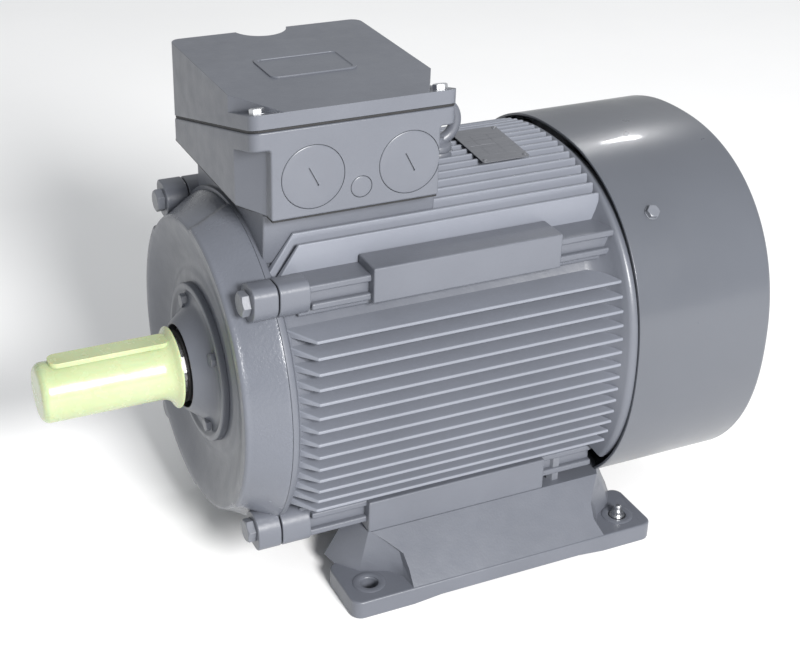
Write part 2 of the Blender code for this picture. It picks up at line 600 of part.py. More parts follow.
# ---- terminal box -----------------------------------------------------------------------------------
PLUG_Z, PLUG_R = 472.0, 32.0
PLUGS = (("cable_plug_1", 108.0, PLUG_Z, PLUG_R), ("cable_plug_2", 208.6, PLUG_Z, PLUG_R),
         ("cable_plug_small", 157.8, 454.4, 10.7))
x0, x1 = BOX_X
y0, y1 = BOX_Y
box = add("terminal_box", prism_z(round_rect(x0, x1, y0, y1, 11), BOX_Z, split_z(-1.3)), PAINT)
below_flange = split_z(-20.0)
for s, xe in ((1, x0), (-1, x1)):
    corner = [(xe - s * 9, y0 - 9), (xe + s * 18.8, y0 - 9), (xe + s * 18.8, y0 + 13), (xe, y0 + 49), (xe - s * 9, y0 + 49)]
    cut(box, add("guide_box_corner_%d" % s, prism_z(corner, BOX_Z - 10, below_flange)))
cavity = [(x0 + 26, y0 + BOX_WALL), (x1 - 26, y0 + BOX_WALL), (x1 - 26, y0 + 22), (x1 - BOX_WALL - 1, y0 + 57),
          (x1 - BOX_WALL, y1 - BOX_WALL), (x0 + BOX_WALL, y1 - BOX_WALL), (x0 + BOX_WALL + 1, y0 + 57), (x0 + 26, y0 + 22)]
cut(box, add("guide_box_cavity", prism_z(cavity, BOX_Z + 6, 640)))
join(box, add("guide_box_boss", prism_z([(POCKET_X - 13, y1 - 25), (POCKET_X + 13, y1 - 25), (POCKET_X + 13, y1 - 4),
                                         (POCKET_X - 13, y1 - 4)], BOX_Z + 3, split_z(-1.3))))
cut(box, add("guide_box_floor_hole", bar_z(400, 460, 153, 0, 36)))
for name, px, pz, pr in PLUGS:
    seat = prism_y(circle(px, pz, pr + GAP, 28), y0 - 12, y0 + 4)
    cut(box, add("guide_seat_" + name, seat))
    cut(box, add("guide_hole_" + name, prism_y(circle(px, pz, pr * 0.8 + GAP, 20), y0 - 12, y0 + 16)))
    bm = prism_y(circle(px, pz, pr, 28), y0 - 0.5, y0 + 4 - GAP)
    plug = add(name, bm, PLUG_GREY)
    join(plug, add("guide_spigot_" + name, prism_y(circle(px, pz, pr * 0.8, 20), y0 + 2, y0 + 13)))
    if pr > 20:
        slot = prism_y([(-11, -0.9), (11, -0.9), (11, 0.9), (-11, 0.9)], y0 - 3, y0 + 1.2)
        bmesh.ops.rotate(slot, cent=(0, 0, 0), matrix=Matrix.Rotation(math.radians(62), 3, "Y"), verts=slot.verts)
        bmesh.ops.translate(slot, vec=(px, 0, pz), verts=slot.verts)
        cut(plug, add("guide_slot_" + name, slot))

lid = add("terminal_box_lid", prism_z(round_rect(x0, x1, y0, y1, 11), split_z(1.3), LID_TOP), PAINT)
ledge = split_z(15.5)
for s, xe in ((1, x0), (-1, x1)):
    notch = [(xe - s * 9, y0 - 9), (xe + s * 34, y0 - 9), (xe + s * 32.4, y0), (xe, y0 + 63), (xe - s * 9, y0 + 63)]
    cut(lid, add("guide_lid_corner_%d" % s, prism_z(notch, ledge, LID_TOP + 20)))
cut(lid, add("guide_lid_pocket", prism_z(circle(POCKET_X, y1 + 7, 29, 28), ledge, LID_TOP + 20)))
lid_cavity = [(x0 + 48, y0 + 9), (x1 - 48, y0 + 9), (x1 - 8, y0 + 76), (x1 - 8, y1 - 8), (POCKET_X + 40, y1 - 8),
              (POCKET_X + 36, y1 - 34), (POCKET_X - 36, y1 - 34), (POCKET_X - 40, y1 - 8), (x0 + 8, y1 - 8),
              (x0 + 8, y0 + 76)]
cut(lid, add("guide_lid_cavity", prism_z(lid_cavity, 380, LID_TOP - 6)))
badge = round_rect(POCKET_X - 46, POCKET_X + 46, -34, 24, 8)
join(lid, add("guide_badge", prism_z(badge, LID_TOP - 2, LID_TOP + 1.6)))
cut(lid, add("guide_badge_field", prism_z(round_rect(POCKET_X - 42, POCKET_X + 42, -30, 20, 5), LID_TOP + 0.4,
                                          LID_TOP + 9)))

gasket_outer = round_rect(x0 + 0.8, x1 - 0.8, y0 + 0.8, y1 - 0.8, 10.2)
lid_gasket = add("lid_gasket", prism_z(gasket_outer, split_z(-1.0), split_z(1.0)), RUBBER)
inner = [(x0 + 44, y0 + 14), (x1 - 44, y0 + 14), (x1 - 12, y0 + 70), (x1 - 12, y1 - 12), (POCKET_X + 44, y1 - 12),
         (POCKET_X + 40, y1 - 40), (POCKET_X - 40, y1 - 40), (POCKET_X - 44, y1 - 12), (x0 + 12, y1 - 12), (x0 + 12, y0 + 70)]
cut(lid_gasket, add("guide_gasket_window", prism_z(inner, 380, 600)))
base_outline = [(x0 + 12, y0 + 40), (x0 + 20, y0 + 22), (x0 + 20, y0 + 2), (x1 - 20, y0 + 2), (x1 - 20, y0 + 22),
                (x1 - 2, y0 + 52), (x1 - 2, y1 - 2), (x0 + 2, y1 - 2), (x0 + 2, y0 + 52)]
base_outline = base_outline[1:]
base_gasket = add("box_gasket", prism_z(base_outline, SHAFT_H + 205 + GAP, BOX_Z - GAP), RUBBER)
cut(base_gasket, add("guide_base_window", bar_z(400, 460, 153, 0, 38)))

SLOPE = math.atan(SPLIT_TAN)
up = Vector((0, math.sin(SLOPE), math.cos(SLOPE)))
LID_SCREWS = ((x0 + 12.5, y0 + 17.0), (x1 - 12.5, y0 + 17.0), (POCKET_X, y1 - 9.0))
screw = None
for i, (sx, sy) in enumerate(LID_SCREWS):
    seat = Vector((sx, sy, ledge(sy)))
    shaft_hole = bar_z(-58, 30, 0, 0, 4.4, SEG_HOLE)
    bmesh.ops.rotate(shaft_hole, cent=(0, 0, 0), matrix=Matrix.Rotation(-SLOPE, 3, "X"), verts=shaft_hole.verts)
    bmesh.ops.translate(shaft_hole, vec=seat, verts=shaft_hole.verts)
    hole = add("guide_lid_screw_hole_%d" % (i + 1), shaft_hole)
    cut(lid, hole)
    cut(lid_gasket, hole)
    cut(box, hole)
    place = seat + up * GAP
    if screw is None:
        screw = add("lid_screw_1", hex_bolt(13, 5.5, 3.9, 34), ZINC, MOTOR, place, (-SLOPE, 0, 0))
    else:
        copy_of(screw, "lid_screw_%d" % (i + 1), MOTOR, place, (-SLOPE, 0, 0))

board = add("terminal_board", block(104, 202, 26, 78, BOX_Z + 6 + GAP, 452), MOULDED)
studs = []
for i in range(3):
    for yy in (38, 66):
        studs.append(bar_z(446, 464, 122 + 31 * i, yy, 5.0, 6))
for bm in studs:
    join(board, add("guide_stud", bm))

# ---- lifting eye and rating plate --------------------------------------------------------------------
eye_z = SHAFT_H + 232.0
eye = add("lifting_eye", bar_z(SHAFT_H + 202.6 + GAP, SHAFT_H + 209.5, 300, 0, 17, 16), PAINT)
ring = bmesh.new()
major, minor, m_seg, s_seg = 22.0, 6.5, 20, 8
for i in range(m_seg):
    a = math.tau * i / m_seg
    for j in range(s_seg):
        b = math.tau * j / s_seg
        rr = major + minor * math.cos(b)
        ring.verts.new((300 + rr * math.cos(a), minor * math.sin(b), eye_z + rr * math.sin(a)))
ring.verts.ensure_lookup_table()
for i in range(m_seg):
    for j in range(s_seg):
        ia, ja = (i + 1) % m_seg, (j + 1) % s_seg
        ring.faces.new([ring.verts[k] for k in (i * s_seg + j, ia * s_seg + j, ia * s_seg + ja, i * s_seg + ja)])
join(eye, add("guide_eye_ring", ring))
join(eye, add("guide_eye_shank", bar_z(SHAFT_H + 179, SHAFT_H + 206, 300, 0, 8.0, SEG_HOLE)))

TILT = math.radians(3.8)
plate = add("nameplate", block(330, 386, -40, 40, FIN_TOP + 1.3, FIN_TOP + 2.5), PLATE, AXIS, (0, 0, 0),
            (TILT, 0, 0))
rivets = merge(*[bar_z(FIN_TOP + 1.9, FIN_TOP + 3.7, x, y, 2.4, 6) for x in (334, 382) for y in (-35, 35)])
join(plate, add("guide_rivets", rivets, parent=AXIS, rot=(TILT, 0, 0)))

# ---- rotor ---------------------------------------------------------------------------------------------
shaft = add("shaft", lathe(
    [(SHAFT_END, 0), (SHAFT_END, SHAFT_R - 2), (SHAFT_END + 2, SHAFT_R), (0, SHAFT_R), (0, 32.4), (68.4, 32.4),
     (68.4, 40), (424.6, 40), (424.6, 32.4), (449, 32.4), (449, 27.5), (548, 27.5), (550, 25.5), (550, 0)],
    SEG_HIDDEN, False), STEEL, ROTOR)
keyway = prism_z(round_rect(-128, -8, -KEY_W / 2 - 0.15, KEY_W / 2 + 0.15, KEY_W / 2 + 0.1, 4), 23.0, 40)
cut(shaft, add("guide_keyway", keyway, parent=ROTOR))
add("shaft_key", prism_z(round_rect(-127.7, -8.3, -KEY_W / 2 + 0.15, KEY_W / 2 - 0.15, KEY_W / 2 - 0.2, 4), 23.3, KEY_TOP),
    STEEL, ROTOR)
core = add("rotor_core", lathe([(162.5, 40.5), (162.5, 68), (146, 72), (146, 94), (163, 96), (163, 99.2), (367, 99.2),
                                (367, 96), (384, 94), (384, 72), (367.5, 68), (367.5, 40.5)], SEG_MID),
           LAMINATION, ROTOR)
blades = []
for i in range(4):
    for xa, xb in ((128, 150), (380, 402)):
        bm = block(xa, xb, -2.5, 2.5, 76, 92)
        bmesh.ops.rotate(bm, cent=(0, 0, 0), matrix=Matrix.Rotation(math.tau * i / 4, 3, "X"), verts=bm.verts)
        blades.append(bm)
join(core, add("guide_core_blades", merge(*blades), parent=ROTOR))

fan = add("fan", lathe([(500, 27.9), (500, 44), (512, 46), (516, 150), (519, 150), (518, 46), (545, 42), (545, 27.9)], SEG_MID),
          FAN_BLACK, ROTOR)
blades = []
for i in range(7):
    bm = prism_y([(515, 60), (560, 78), (566, 152), (516, 152)], -2, 2)
    bmesh.ops.rotate(bm, cent=(0, 0, 0), matrix=Matrix.Rotation(math.tau * i / 7, 3, "X"), verts=bm.verts)
    blades.append(bm)
join(fan, add("guide_fan_blades", merge(*blades), parent=ROTOR))
add("v_ring_de", lathe([(5, 32.8), (5, 39), (11, 38), (16, 43), (17.5, 43), (14, 36), (16, 32.8)], SEG_HIDDEN),
    RUBBER, ROTOR)

# ---- shaft protection sleeve ------------------------------------------------------------------------------
SLEEVE_OUT, SLEEVE_IN = 31.8, 30.4
sleeve = add("shaft_sleeve", lathe(
    [(SLEEVE_END, 0), (SLEEVE_END, 25), (SLEEVE_END + 4, 31), (SLEEVE_END + 7, SLEEVE_OUT), (-16, SLEEVE_OUT),
     (-6, 38), (-3, 44), (-1.2, 44), (-1.2, 35), (-8, SLEEVE_IN), (-141, SLEEVE_IN), (-141, 0)],
    SEG_MID, False), SLEEVE_PE, SLEEVE)
ridge = prism_z(round_rect(-131, -4.2, -11.4, 11.4, 9, 4), 20, 36.4)
join(sleeve, add("guide_ridge", ridge, parent=SLEEVE))
slot = prism_x([(-9.7, 12), (9.7, 12), (9.7, 34.7), (-9.7, 34.7)], -129.2, 5)
cut(sleeve, add("guide_sleeve_bore", lathe([(-140.9, 0), (-140.9, SLEEVE_IN - 0.02), (10, SLEEVE_IN - 0.02), (10, 0)],
                                           SEG_MID, False), parent=SLEEVE))
cut(sleeve, add("guide_sleeve_slot", slot, parent=SLEEVE))
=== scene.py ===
"""Looks of the foot-mounted squirrel-cage motor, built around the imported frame.

Sizes are millimetres.  X runs along the shaft from the shaft shoulder at the drive end, Y = 0 is the
vertical plane through the shaft, and Z is measured from the feet, or from the shaft where a piece is
made with on_axis=True.  The frame gives where that origin lies.
"""
import json
import math

import bmesh
import bpy
from mathutils import Matrix, Vector

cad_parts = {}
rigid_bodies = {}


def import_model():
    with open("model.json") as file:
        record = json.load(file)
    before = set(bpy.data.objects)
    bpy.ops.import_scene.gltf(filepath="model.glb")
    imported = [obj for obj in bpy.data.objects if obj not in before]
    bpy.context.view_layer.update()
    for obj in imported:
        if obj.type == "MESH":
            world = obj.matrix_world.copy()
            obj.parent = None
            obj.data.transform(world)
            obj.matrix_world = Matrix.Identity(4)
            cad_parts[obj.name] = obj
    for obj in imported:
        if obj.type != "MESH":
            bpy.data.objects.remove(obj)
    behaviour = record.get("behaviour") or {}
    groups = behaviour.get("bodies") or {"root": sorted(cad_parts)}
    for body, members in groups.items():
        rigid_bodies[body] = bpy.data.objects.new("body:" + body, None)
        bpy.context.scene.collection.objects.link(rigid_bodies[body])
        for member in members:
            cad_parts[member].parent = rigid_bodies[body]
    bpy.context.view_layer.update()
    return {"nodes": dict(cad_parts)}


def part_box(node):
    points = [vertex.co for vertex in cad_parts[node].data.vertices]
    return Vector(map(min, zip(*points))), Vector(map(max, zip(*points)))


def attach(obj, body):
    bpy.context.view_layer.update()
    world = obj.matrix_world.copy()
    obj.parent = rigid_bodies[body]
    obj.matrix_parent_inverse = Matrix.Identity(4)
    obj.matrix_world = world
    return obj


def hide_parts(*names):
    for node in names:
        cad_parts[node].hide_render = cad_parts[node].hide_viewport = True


for old in list(bpy.data.objects):
    bpy.data.objects.remove(old, do_unlink=True)

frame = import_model()

MM = 0.001
TAU = math.tau


def node_box(name):
    """A CAD node's lowest and highest corners in millimetres, in the row frame."""
    low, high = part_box(name)
    return low / MM, high / MM


# ---- driving dimensions, from the frame where it holds them ------------------------------------
JOINT_X = 62.0                                    # drive-end shield to housing, from the shoulder
ORIGIN_X = node_box("stator_housing")[0].x - JOINT_X
SHAFT_H = (node_box("stator_core")[0].z + node_box("stator_core")[1].z) / 2.0
REAR_X = 432.0                                    # housing to rear shield
BARREL_R, FLANGE_R, BORE_R = 174.5, 183.0, 165.0  # between the fins, at both ends, and inside
FIN_SIDE, FIN_TOP, SQUARE = 192.0, 202.0, 2.25    # fin tips, and the exponent of the squared outline
PAD_IN, PAD_OUT = 119.0, 156.0                    # flat pads, from the shaft
LUG_C, LUG_R = 131.9, 17.0                        # lugs of the shield bolts: place on both axes, radius
CORNERS = [(sy * LUG_C, sz * LUG_C) for sy in (-1, 1) for sz in (1, -1)]
BOX_X0, BOX_X1 = (v.x - ORIGIN_X for v in node_box("terminal_box"))
BOX_Y0, BOX_Y1 = (v.y for v in node_box("terminal_box"))
BOX_Z = node_box("terminal_box")[0].z
LID_TOP = 540.0
SPLIT_Z, SPLIT_TAN = 524.2, 0.28                  # sloped joint of the terminal box
LEDGE = LID_TOP - SPLIT_Z                         # lid flange height over the joint
POCKET_X, POCKET_R = 148.0, 29.0                  # pocket of the far lid screw
COWL_X0, COWL_X1 = (v.x - ORIGIN_X for v in node_box("fan_cowl"))
COWL_R, COWL_FLAT, COWL_T = 206.0, 163.0, 3.0     # outline, flat bottom and sheet thickness
CAP_SCREW_R = 67.0
CAP_ANGLES = [math.radians(60 + 90 * i) for i in range(4)]


# ---- materials -----------------------------------------------------------------------------------
def noise_ramp(tree, coords, scale, detail, stops):
    """A noise texture through a colour ramp; returns the ramp's colour output."""
    noise = tree.nodes.new("ShaderNodeTexNoise")
    noise.inputs["Scale"].default_value = scale
    noise.inputs["Detail"].default_value = detail
    tree.links.new(coords, noise.inputs["Vector"])
    ramp = tree.nodes.new("ShaderNodeValToRGB")
    first, last = ramp.color_ramp.elements
    first.position, last.position = 0.22, 0.78
    first.color, last.color = ((*c, 1.0) if len(c) == 3 else (c[0], c[0], c[0], 1.0) for c in stops)
    tree.links.new(noise.outputs["Fac"], ramp.inputs["Fac"])
    return ramp.outputs["Color"]


def surface(name, dark, light, rough, metal=0.0, mottle=14.0, bumps=(), stretch=(1, 1, 1), **sockets):
    """Procedural finish: mottled colour, uneven gloss and a stack of (scale, height in mm) bumps."""
    mat = bpy.data.materials.new(name)
    mat.use_nodes = True
    tree = mat.node_tree
    shader = tree.nodes["Principled BSDF"]
    texco = tree.nodes.new("ShaderNodeTexCoord")
    mapping = tree.nodes.new("ShaderNodeMapping")
    mapping.inputs["Scale"].default_value = stretch
    tree.links.new(texco.outputs["Object"], mapping.inputs["Vector"])
    coords = mapping.outputs["Vector"]
    tree.links.new(noise_ramp(tree, coords, mottle, 5.0, (dark, light)), shader.inputs["Base Color"])
    gloss = noise_ramp(tree, coords, mottle * 6.0, 4.0, ((rough[0],), (rough[1],)))
    tree.links.new(gloss, shader.inputs["Roughness"])
    shader.inputs["Metallic"].default_value = metal
    for socket, value in sockets.items():
        shader.inputs[socket.replace("_", " ")].default_value = value
    normal = None
    for scale, height in bumps:
        noise = tree.nodes.new("ShaderNodeTexNoise")
        noise.inputs["Scale"].default_value = scale
        noise.inputs["Detail"].default_value = 3.0
        tree.links.new(coords, noise.inputs["Vector"])
        bump = tree.nodes.new("ShaderNodeBump")
        bump.inputs["Strength"].default_value = 1.0
        bump.inputs["Distance"].default_value = height * MM
        tree.links.new(noise.outputs["Fac"], bump.inputs["Height"])
        if normal:
            tree.links.new(normal, bump.inputs["Normal"])
        normal = bump.outputs["Normal"]
    if normal:
        tree.links.new(normal, shader.inputs["Normal"])
    return mat


PAINT = surface("cast_paint", (0.094, 0.101, 0.120), (0.114, 0.122, 0.144), (0.30, 0.42), mottle=9,
                bumps=((60, 0.25), (420, 0.12), (1100, 0.04)))
PAINT_ROUGH = surface("cast_paint_rough", (0.096, 0.103, 0.123), (0.120, 0.129, 0.153), (0.18, 0.30),
                      mottle=9, bumps=((330, 0.34), (900, 0.12)))
PAINT_SHEET = surface("sheet_paint", (0.074, 0.080, 0.094), (0.086, 0.093, 0.109), (0.26, 0.34), mottle=5,
                      bumps=((1300, 0.03),), Coat_Weight=0.16, Coat_Roughness=0.07)
# The fins get the cast paint made lighter: painted light, standing in for the light that the fins' faces
# catch.
FIN_PAINT_PAINTED_LIGHT = surface("cast_paint_fins_painted_light", (0.156, 0.167, 0.196), (0.184, 0.196, 0.229), (0.30, 0.42),
                     mottle=9, bumps=((60, 0.25), (420, 0.12)))
PAINT_FIX = surface("fixing_paint", (0.100, 0.107, 0.124), (0.150, 0.159, 0.182), (0.28, 0.42), mottle=60,
                    bumps=((500, 0.08),))
FINISHES = {
    "paint": PAINT,
    "painted_fixing": PAINT_FIX,
    "lamination": surface("core_sheets", (0.16, 0.16, 0.17), (0.30, 0.30, 0.31), (0.35, 0.55), 0.9, 20,
                          ((900, 0.1),), (40, 1, 1)),
    "winding": surface("varnished_wire", (0.25, 0.07, 0.02), (0.45, 0.16, 0.05), (0.25, 0.45), 0.4, 60,
                       ((350, 0.5),)),
    "bearing_steel": surface("ground_steel", (0.50, 0.50, 0.51), (0.62, 0.62, 0.63), (0.12, 0.24), 1.0, 40,
                             ((1500, 0.01),)),
    "shaft_steel": surface("turned_steel", (0.46, 0.46, 0.47), (0.58, 0.58, 0.58), (0.20, 0.34), 1.0, 30,
                           ((700, 0.03),), (12, 1, 1)),
    "cage_brass": surface("machined_brass", (0.48, 0.33, 0.10), (0.62, 0.44, 0.16), (0.22, 0.36), 1.0, 40,
                          ((900, 0.03),)),
    "black_rubber": surface("rubber", (0.006, 0.006, 0.007), (0.016, 0.016, 0.017), (0.55, 0.75), 0.0, 90,
                            ((700, 0.06),)),
    "grey_plastic": surface("moulded_plug", (0.100, 0.107, 0.127), (0.112, 0.120, 0.141), (0.30, 0.38),
                            0.0, 30, ((1000, 0.03),)),
    "moulded_board": surface("phenolic", (0.05, 0.022, 0.012), (0.09, 0.04, 0.022), (0.40, 0.55), 0.0, 50,
                             ((800, 0.05),)),
    "fan_plastic": surface("fan_black", (0.010, 0.010, 0.011), (0.022, 0.022, 0.023), (0.38, 0.52), 0.0, 40,
                           ((900, 0.05),)),
    "plate_steel": surface("rating_plate", (0.11, 0.115, 0.13), (0.15, 0.155, 0.17), (0.28, 0.42), 0.3, 50,
                           ((600, 0.02),), (1, 18, 1)),
    "zinc": surface("zinc_plate", (0.50, 0.51, 0.53), (0.68, 0.69, 0.71), (0.22, 0.38), 1.0, 160,
                    ((1100, 0.04),)),
    "sleeve_plastic": surface("sleeve_film", (0.36, 0.41, 0.22), (0.43, 0.48, 0.28), (0.20, 0.32), 0.0, 12,
                              ((45, 0.5), (600, 0.03)), Subsurface_Weight=0.25, Subsurface_Scale=0.01,
                              Coat_Weight=0.25, Coat_Roughness=0.12),
}
for name, node in frame["nodes"].items():
    slot = node.data.materials[0].name.split(".")[0]
    node.data.materials.clear()
    node.data.materials.append(FINISHES[slot])


# ---- mesh helpers --------------------------------------------------------------------------------
def to_object(name, bm, on_axis):
    """An object from bm, which is drawn in millimetres from the feet or, with on_axis, from the shaft."""
    bmesh.ops.recalc_face_normals(bm, faces=bm.faces)
    to_frame = Matrix.Scale(MM, 4) @ Matrix.Translation((ORIGIN_X, 0, SHAFT_H if on_axis else 0))
    bmesh.ops.transform(bm, matrix=to_frame, verts=bm.verts)
    mesh = bpy.data.meshes.new(name)
    bm.to_mesh(mesh)
    bm.free()
    ob = bpy.data.objects.new(name, mesh)
    bpy.context.scene.collection.objects.link(ob)
    return ob


def piece(name, bm, slot="paint", finish=None, on_axis=False, bevel=0.0, steps=2, body="frame",
          replaces=(), smooth=35.0, cutters=()):
    """Make bm, drawn in millimetres, a shown piece that rides on body; bevel is its edge radius."""
    bmesh.ops.remove_doubles(bm, verts=bm.verts, dist=1e-4)
    ob = to_object(name, bm, on_axis)
    ob.data.shade_smooth()
    ob.data.set_sharp_from_angle(angle=math.radians(smooth))
    ob.data.materials.append(finish or FINISHES[slot])
    if cutters:
        cut_with(ob, cutters)
    if bevel:
        round_edges(ob, bevel, steps)
    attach(ob, body)
    if replaces:
        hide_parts(*replaces)
    return ob


def round_edges(ob, width, steps=2, angle=32.0):
    mod = ob.modifiers.new("edges", "BEVEL")
    mod.width, mod.segments = width * MM, steps
    mod.limit_method, mod.angle_limit = "ANGLE", math.radians(angle)
    mod.harden_normals = True
    mod.miter_outer = "MITER_ARC"


def bake(ob):
    """Replace ob's mesh with the result of its modifiers."""
    graph = bpy.context.evaluated_depsgraph_get()
    done = bpy.data.meshes.new_from_object(ob.evaluated_get(graph), depsgraph=graph)
    old = ob.data
    ob.modifiers.clear()
    ob.data = done
    bpy.data.meshes.remove(old)


def cut_with(ob, tools):
    """Take the tools out of ob, after whatever modifiers it already has, and remove them."""
    for tool in tools:
        mod = ob.modifiers.new("cut", "BOOLEAN")
        mod.operation, mod.solver, mod.object = "DIFFERENCE", "EXACT", tool
    bake(ob)
    for tool in tools:
        bpy.data.objects.remove(tool, do_unlink=True)


def cutter(bm, on_axis=False):
    """A hidden tool shape for piece(); it is gone once the cut is made."""
    return to_object("cutter", bm, on_axis)


def arc(cx, cy, r, a0, a1, n):
    """Points of a circular arc from a0 to a1 degrees."""
    return [(cx + r * math.cos(math.radians(a0 + (a1 - a0) * i / n)),
             cy + r * math.sin(math.radians(a0 + (a1 - a0) * i / n))) for i in range(n + 1)]


def circle(cx, cy, r, seg, start=0.0):
    return [(cx + r * math.cos(start + TAU * i / seg), cy + r * math.sin(start + TAU * i / seg))
            for i in range(seg)]


def round_rect(x0, x1, y0, y1, r, seg=6):
    return (arc(x1 - r, y1 - r, r, 0, 90, seg) + arc(x0 + r, y1 - r, r, 90, 180, seg)
            + arc(x0 + r, y0 + r, r, 180, 270, seg) + arc(x1 - r, y0 + r, r, 270, 360, seg))


UPRIGHT = Matrix.Rotation(-TAU / 4, 4, "Y")        # turns a lathed shape's X axis up


def lathe(profile, seg=128, closed=True):
    """Spin (x, r) points about the X axis; an open profile starts and ends on the axis."""
    bm = bmesh.new()
    rings = []
    for x, r in profile:
        if r < 1e-6:
            rings.append([bm.verts.new((x, 0, 0))])
        else:
            rings.append([bm.verts.new((x, r * math.sin(TAU * i / seg), r * math.cos(TAU * i / seg)))
                          for i in range(seg)])
    pairs = list(zip(rings, rings[1:])) + ([(rings[-1], rings[0])] if closed else [])
    for low, high in pairs:
        skin(bm, low, high)
    return bm


def skin(bm, low, high):
    """Faces between two rings of points; a ring of one point is a tip."""
    n = max(len(low), len(high))
    for i in range(n):
        j = (i + 1) % n
        quad = [low[i % len(low)], low[j % len(low)], high[j % len(high)], high[i % len(high)]]
        corners = list(dict.fromkeys(quad))
        if len(corners) > 2:
            bm.faces.new(corners)


def rows_mesh(rows):
    """Closed mesh through rings of 3-D points, each ring with the same number of points."""
    bm = bmesh.new()
    rings = [[bm.verts.new(p) for p in row] for row in rows]
    for low, high in zip(rings, rings[1:]):
        skin(bm, low, high)
    bm.faces.new(list(reversed(rings[0])))
    bm.faces.new(rings[-1])
    return bm


def prism_x(outline_yz, x0, x1):
    return rows_mesh([[(x, y, z) for y, z in outline_yz] for x in (x0, x1)])


def prism_y(outline_xz, y0, y1):
    return rows_mesh([[(x, y, z) for x, z in outline_xz] for y in (y0, y1)])


def prism_z(outline_xy, bottom, top):
    """Vertical prism; bottom and top are heights, or planes given as functions of y."""
    level = lambda z, y: z(y) if callable(z) else z
    return rows_mesh([[(x, y, level(z, y)) for x, y in outline_xy] for z in (bottom, top)])


def block(x0, x1, y0, y1, z0, z1):
    return prism_z([(x0, y0), (x1, y0), (x1, y1), (x0, y1)], z0, z1)


def merge(parts):
    """Several bmesh pieces as one."""
    out = bmesh.new()
    for bm in parts:
        mesh = bpy.data.meshes.new("part")
        bm.to_mesh(mesh)
        bm.free()
        out.from_mesh(mesh)
        bpy.data.meshes.remove(mesh)
    return out


def placed(bm, matrix):
    bmesh.ops.transform(bm, matrix=matrix, verts=bm.verts)
    return bm


def aim(place, direction):
    """Matrix that takes +Z to a direction, at a place."""
    turn = Vector((0, 0, 1)).rotation_difference(Vector(direction)).to_matrix().to_4x4()
    return Matrix.Translation(place) @ turn


def hex_head(af, head, washer=0.0, spin=0.0):
    """Hexagon head along +Z with chamfered corners, on a washer face of the given thickness."""
    seg, flat_r = 48, af / 2.0
    ring = []
    for i in range(seg):
        a = TAU * i / seg
        ring.append((a + spin, flat_r / math.cos((a + TAU / 12) % (TAU / 6) - TAU / 12)))
    top_r = flat_r * 0.94
    rows = []
    if washer:
        rows += [[(flat_r * 1.22 * math.cos(a), flat_r * 1.22 * math.sin(a), z) for a, _ in ring]
                 for z in (0.0, washer * 0.8)]
        rows.append([(flat_r * 1.18 * math.cos(a), flat_r * 1.18 * math.sin(a), washer) for a, _ in ring])
    rows.append([(r * math.cos(a), r * math.sin(a), washer) for a, r in ring])
    rows.append([(r * math.cos(a), r * math.sin(a), washer + head - (r - top_r) * 0.55) for a, r in ring])
    rows.append([(top_r * math.cos(a), top_r * math.sin(a), washer + head) for a, r in ring])
    rows.append([(top_r * 0.9 * math.cos(a), top_r * 0.9 * math.sin(a), washer + head) for a, r in ring])
    return rows_mesh(rows)


def split_z(offset=0.0):
    """Height of the sloped box joint at y, moved up by offset."""
    return lambda y: SPLIT_Z + offset - SPLIT_TAN * (y - BOX_Y0)


# ---- housing -------------------------------------------------------------------------------------
def squared(angle):
    """How far the squared outline of fins and cowl stands outside a circle, by the angle."""
    return (abs(math.cos(angle)) ** SQUARE + abs(math.sin(angle)) ** SQUARE) ** (-1.0 / SQUARE)


FIN_ROOT_R, FIN_SPAN_R = 170.0, 200.0             # where the fins start, and the outline's reach sideways
FIN_ROOT_HALF, FIN_TIP_HALF = 4.4, 1.8            # half thickness
FIN_END, FIN_TAIL = 438.0, 2.0                    # rear end, and its slant
FIN_PITCH, TOP_PITCH, BOTTOM_PITCH = 15.0, 12.6, 25.2


def fin(axis, side, offset, x0, lead):
    """A drafted cooling fin that stands out along 'y' or 'z' on one side; lead is its front slant."""
    root = math.sqrt(FIN_ROOT_R ** 2 - offset ** 2)
    reach = FIN_TOP if (axis, side) == ("z", 1) else FIN_SIDE
    tip = reach * (1.0 - (abs(offset) / FIN_SPAN_R) ** SQUARE) ** (1.0 / SQUARE)
    rows = []
    for out, half, xa, xb in ((root, FIN_ROOT_HALF, x0, FIN_END),
                              (tip, FIN_TIP_HALF, x0 + lead, FIN_END - FIN_TAIL)):
        row = []
        for x, s in ((xa, -1), (xb, -1), (xb, 1), (xa, 1)):
            across = offset + s * half
            row.append((x, side * out, across) if axis == "y" else (x, across, side * out))
        rows.append(row)
    return rows_mesh(rows)


fins = []
for k in range(14):
    z = (k - 6.5) * FIN_PITCH
    fins += [fin("y", side, z, 68, 17 + 6 * abs(z) / 97.5) for side in (-1, 1)]
for side, count, pitch in ((1, 19, TOP_PITCH), (-1, 9, BOTTOM_PITCH)):
    for k in range(count):
        y = (k - (count - 1) / 2) * pitch
        fins.append(fin("z", side, y, 64, 24 + 8 * abs(y) / 113))
# The fins wear the lighter copy of the cast paint, painted light on their faces.
piece("housing_fins", merge(fins), finish=FIN_PAINT_PAINTED_LIGHT, on_axis=True, bevel=1.3, steps=3)

barrel = lathe([(JOINT_X + 0.2, BORE_R), (JOINT_X + 0.2, FLANGE_R - 0.3), (JOINT_X + 0.6, FLANGE_R),
                (67.0, FLANGE_R), (68.6, FLANGE_R - 1), (69.8, FLANGE_R - 4), (72, BARREL_R + 1.4),
                (76, BARREL_R), (414, BARREL_R), (422, BARREL_R + 2.4), (430, BARREL_R + 5.6),
                (REAR_X - 1, FLANGE_R - 1.2), (REAR_X, FLANGE_R - 2), (REAR_X, BORE_R)], 160)
piece("housing_barrel", barrel, on_axis=True, replaces=("stator_housing",))

